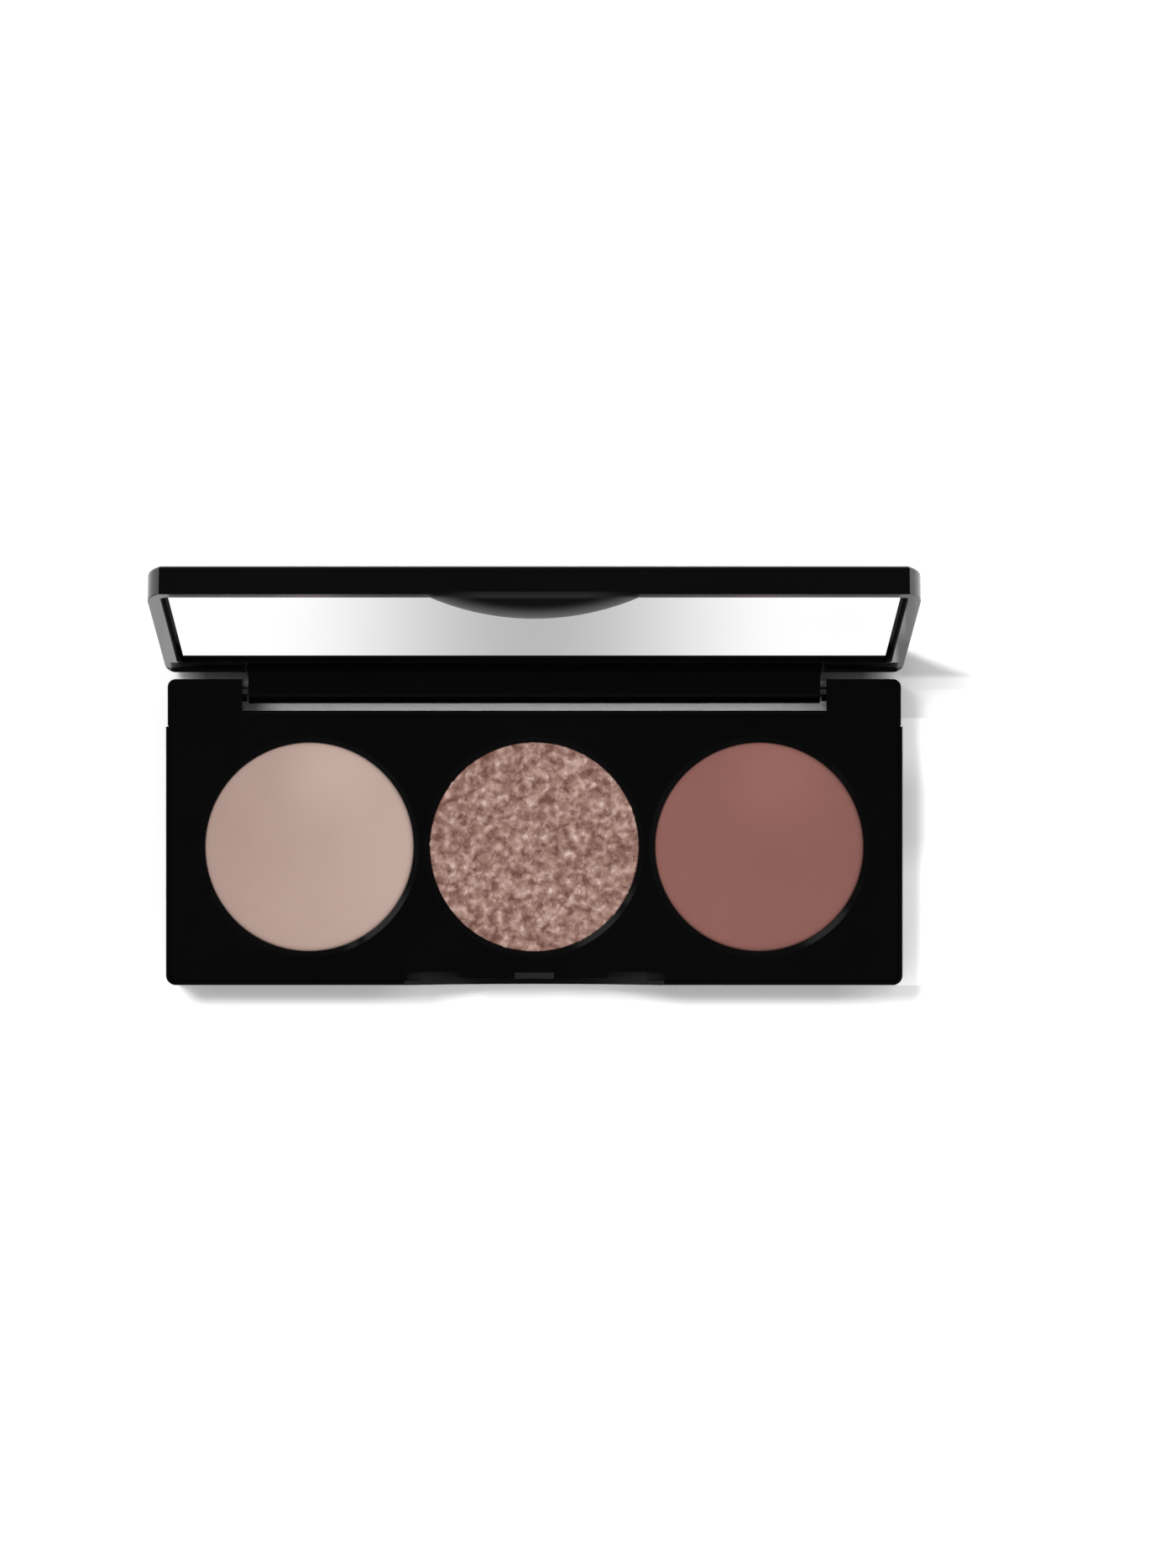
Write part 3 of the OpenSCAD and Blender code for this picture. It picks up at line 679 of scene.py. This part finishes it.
def floor():
    """Pale floor that keeps the shadows and burns out to white where it is fully lit; painted shadow and
    painted light reshape the shadows in places.
    """
    _, tree = sheet("floor", FLOOR_HALF, -FLOOR_HALF, FLOOR_HALF, FLOOR_Z)
    camera_ray, gloss_ray = looks(tree)
    x, y, _ = place_mm(tree)
    slot = product(tree, below(tree, away(tree, x), SLOT_HALF_X), within(tree, y, *SLOT_Y),
                   spread(tree, x, *SLOT_GAIN, *SLOT_LEFT))
    gap = product(tree, within(tree, y, *GAP_Y), fall(tree, away(tree, x), *GAP_ENDS), GAP_SHADE)
    wedge_shadow, round_wedge = lid_foot(tree, x, y)
    side = product(tree, above(tree, x, SIDE_LEFT), within(tree, y, *SIDE_Y),
                   rise(tree, away(tree, y, SIDE_DARKEST), *SIDE_FADE), SIDE_LIFT)
    rear = spread(tree, y, FLOOR_GAIN, FLOOR_GAIN + REAR_LIFT, *REAR_Y)
    # Painted light under the slot, round the wedge, beside the base and behind the lid; painted shadow in the
    # wedge and the front strip; painted shade in the gap.
    paler = total(tree, slot, round_wedge, side, rear)
    painted_shadow = total(tree, product(tree, wedge_shadow, WEDGE_SHADE),
                   product(tree, front_strip(tree, x, y), FRONT_SHADE))
    gain = product(tree, calc(tree, "MAXIMUM", camera_ray, gloss_ray), calc(tree, "SUBTRACT", paler, painted_shadow))
    open_part = rest(tree, gap)
    base = add(tree, "ShaderNodeBsdfDiffuse", {"Color": product(tree, open_part, FLOOR_TONE)}).outputs[0]
    extra = add(tree, "ShaderNodeBsdfDiffuse", {"Color": product(tree, open_part, gain)}).outputs[0]
    both = add(tree, "ShaderNodeAddShader", {0: base, 1: extra}).outputs[0]
    add(tree, "ShaderNodeOutputMaterial", {"Surface": both})


# ---------- card over the hinge: a glowing sheet, a painted reflection for the mirror ---

# Half width, front and rear, and height of the card, in millimetres.
CARD_HALF_X = 45.5
CARD_Y = (11.6, 20.58)
CARD_Z = 7.12
# Its glow from the middle to the sides, and the painted shade that darkens it at its rear right corner.
CARD_LIGHT = (0.5, 1.03)
CARD_SIDES = (0.0, 34.0)
CORNER_X = (44.1, 44.6)
CORNER_Y = (15.0, 18.0)
CORNER_SHADE = 0.5


# A sheet that glows though it is no lamp: a painted reflection in the mirror, with painted shade at one
# corner.
def glowing_reflection_card():
    """Pale sheet over the hinge that only gloss sees, from above: what the photographed mirror shows."""
    obj, tree = sheet("glowing_reflection_card", CARD_HALF_X, *CARD_Y, CARD_Z)
    x, y, _ = place_mm(tree)
    light = spread(tree, away(tree, x), *CARD_LIGHT, *CARD_SIDES, "SMOOTHSTEP")
    corner = product(tree, rise(tree, x, *CORNER_X), rise(tree, y, *CORNER_Y), CORNER_SHADE)
    reflection_glow = add(tree, "ShaderNodeEmission", {"Strength": product(tree, light, rest(tree, corner))}).outputs[0]
    clear = add(tree, "ShaderNodeBsdfTransparent").outputs[0]
    back = add(tree, "ShaderNodeNewGeometry").outputs["Backfacing"]
    add(tree, "ShaderNodeOutputMaterial", {"Surface": mix(tree, back, reflection_glow, clear)})
    obj.data.materials[0].cycles.emission_sampling = "NONE"
    obj.visible_camera = obj.visible_diffuse = obj.visible_shadow = obj.visible_transmission = False


# ---------- light ----------

# Brightness of the fill, and what the key adds on a level floor.
FILL = 0.66
KEY = 0.34
# The key's width in degrees as the palette sees it, and the way its light travels.
KEY_WIDTH = 13
KEY_TRAVEL = (0.42, -0.33, -1.0)

# The room that gloss sees, by the height of the direction: white up to the first place, dark from the second.
HORIZON = (0.13, 0.2)
# The dark part brightens with height, and darkens again overhead.
WALL_LIGHT = (0.04, 0.07)
WALL_HEIGHT = (0.3, 0.8)
CEILING_LIGHT = (0.07, 0.035)
CEILING_HEIGHT = (0.9, 0.98)
# Its soft boxes: direction, inner and outer angle in degrees, brightness.
BOXES = [
    ((-0.68, 0.68, 0.27), 8, 26, 0.5),
    ((1.0, 0.0, 0.97), 16, 21, 0.32),
    ((-1.0, 0.0, 0.97), 16, 21, 0.32),
    ((-0.6, -0.57, 0.56), 6, 18, 0.45),
]


def white_light(tree, strength):
    return add(tree, "ShaderNodeBackground", {"Color": (1, 1, 1, 1), "Strength": strength}).outputs[0]


def world():
    """White to the camera, an even fill for matte surfaces, and a dark room with soft boxes for gloss."""
    scene.world = bpy.data.worlds.new("studio")
    tree = new_tree(scene.world)
    camera_ray, gloss_ray = looks(tree)
    way = add(tree, "ShaderNodeTexCoord").outputs["Generated"]
    height = facing(tree, way, (0.0, 0.0, 1.0))
    dark = calc(tree, "MINIMUM", spread(tree, height, *WALL_LIGHT, *WALL_HEIGHT),
                spread(tree, height, *CEILING_LIGHT, *CEILING_HEIGHT))
    room = spread(tree, height, 1.0, dark, *HORIZON, "SMOOTHSTEP")
    for direction, inner, outer, brightness in BOXES:
        towards = facing(tree, way, tuple(Vector(direction).normalized()))
        rim, core = math.cos(math.radians(outer)), math.cos(math.radians(inner))
        room = total(tree, room, spread(tree, towards, 0.0, brightness, rim, core, "SMOOTHSTEP"))
    unseen = mix(tree, gloss_ray, white_light(tree, FILL), white_light(tree, room))
    add(tree, "ShaderNodeOutputWorld", {"Surface": mix(tree, camera_ray, unseen, white_light(tree, 1.0))})


def key_lamp():
    """Broad soft key from behind and to the left, about 62 degrees up."""
    travel = Vector(KEY_TRAVEL).normalized()
    lamp = bpy.data.lights.new("key", "SUN")
    lamp.energy = KEY * math.pi / -travel.z
    lamp.angle = math.radians(KEY_WIDTH)
    obj = bpy.data.objects.new("key", lamp)
    obj.rotation_euler = travel.to_track_quat("-Z", "Y").to_euler()
    obj.visible_glossy = False
    scene.collection.objects.link(obj)


# ---------- camera ----------

# The photograph's size, the place straight below the camera in it, and the focal length, all in pixels.
PHOTO_W, PHOTO_H = 1401, 1868
BELOW_X, BELOW_Y = 636.5, 927
FOCAL = 6321
# The camera's place, and the sensor's longer side in millimetres.
CAMERA = (0, 0.0066, 0.655)
SENSOR = 36


def camera():
    """Straight down from 648 mm over the deck; the palette sits left of the middle of the frame."""
    data = bpy.data.cameras.new("camera")
    data.sensor_width = SENSOR
    data.lens = FOCAL / PHOTO_H * SENSOR
    data.clip_start, data.clip_end = 0.01, 50
    data.shift_x = (PHOTO_W / 2 - BELOW_X) / PHOTO_H
    data.shift_y = -(PHOTO_H / 2 - BELOW_Y) / PHOTO_H
    obj = bpy.data.objects.new("camera", data)
    obj.location = CAMERA
    scene.collection.objects.link(obj)
    scene.camera = obj


floor()
glowing_reflection_card()
world()
key_lamp()
camera()

scene.view_settings.view_transform = "Standard"
